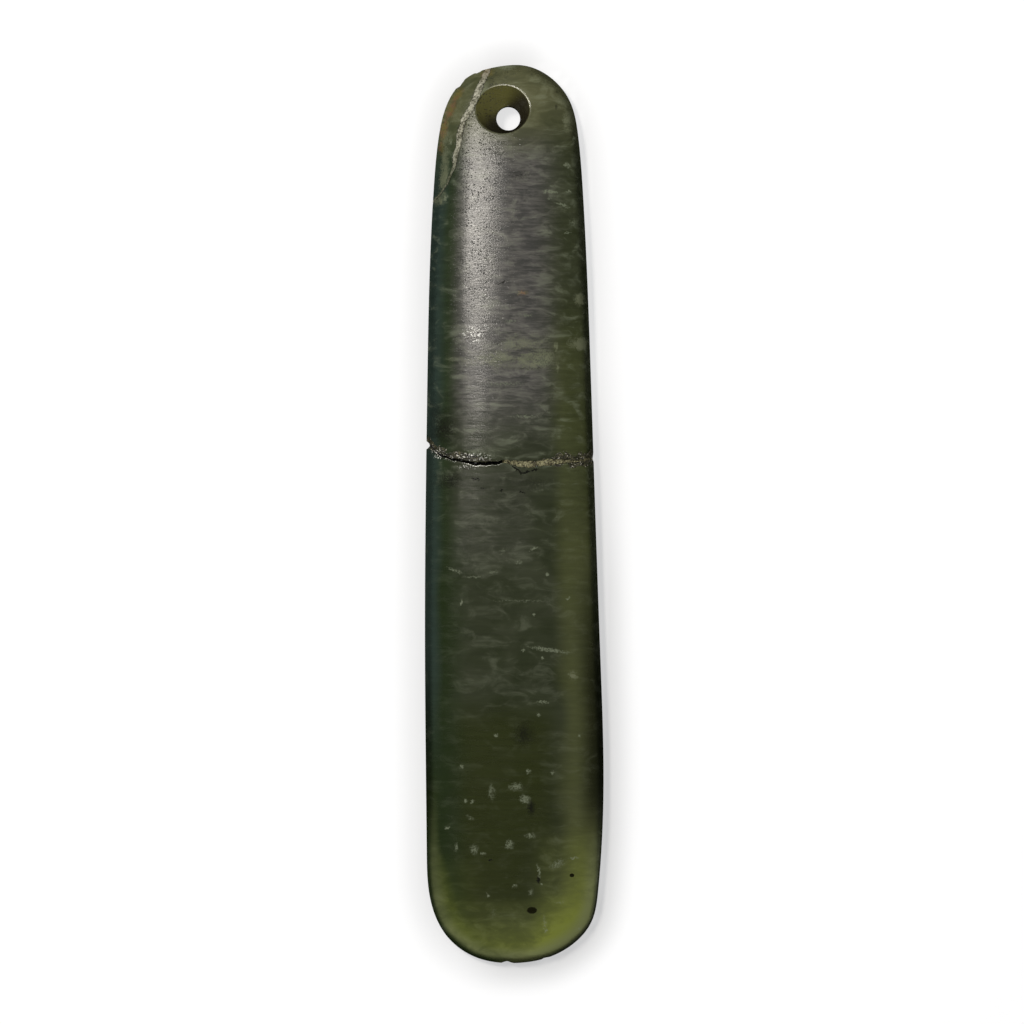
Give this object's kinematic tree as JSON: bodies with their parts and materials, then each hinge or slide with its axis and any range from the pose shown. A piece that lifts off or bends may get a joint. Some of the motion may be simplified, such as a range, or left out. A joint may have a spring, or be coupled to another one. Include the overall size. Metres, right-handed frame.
{
  "type": "greenstone drop pendant",
  "caption": "Long flat tapering bar pendant of dark green stone with rounded ends, drilled near the narrow top for a cord, broken across the middle and at a top corner and glued.",
  "frame": {"origin": "under the middle of the bar, in the plane of its flat back", "axes": "+Y along the bar towards the drilled end, +X across the face to the right when the drilled end is up, +Z out of the bevelled face"},
  "size_m": [0.0224, 0.1126, 0.0064],
  "materials": {
    "greenstone": "polished",
    "glue": "matte, granular"
  },
  "bodies": {
    "root": {"upper_stone": "greenstone", "lower_stone": "greenstone", "corner_stone": "greenstone", "break_glue": "glue", "corner_glue": "glue"}
  },
  "joints": []
}
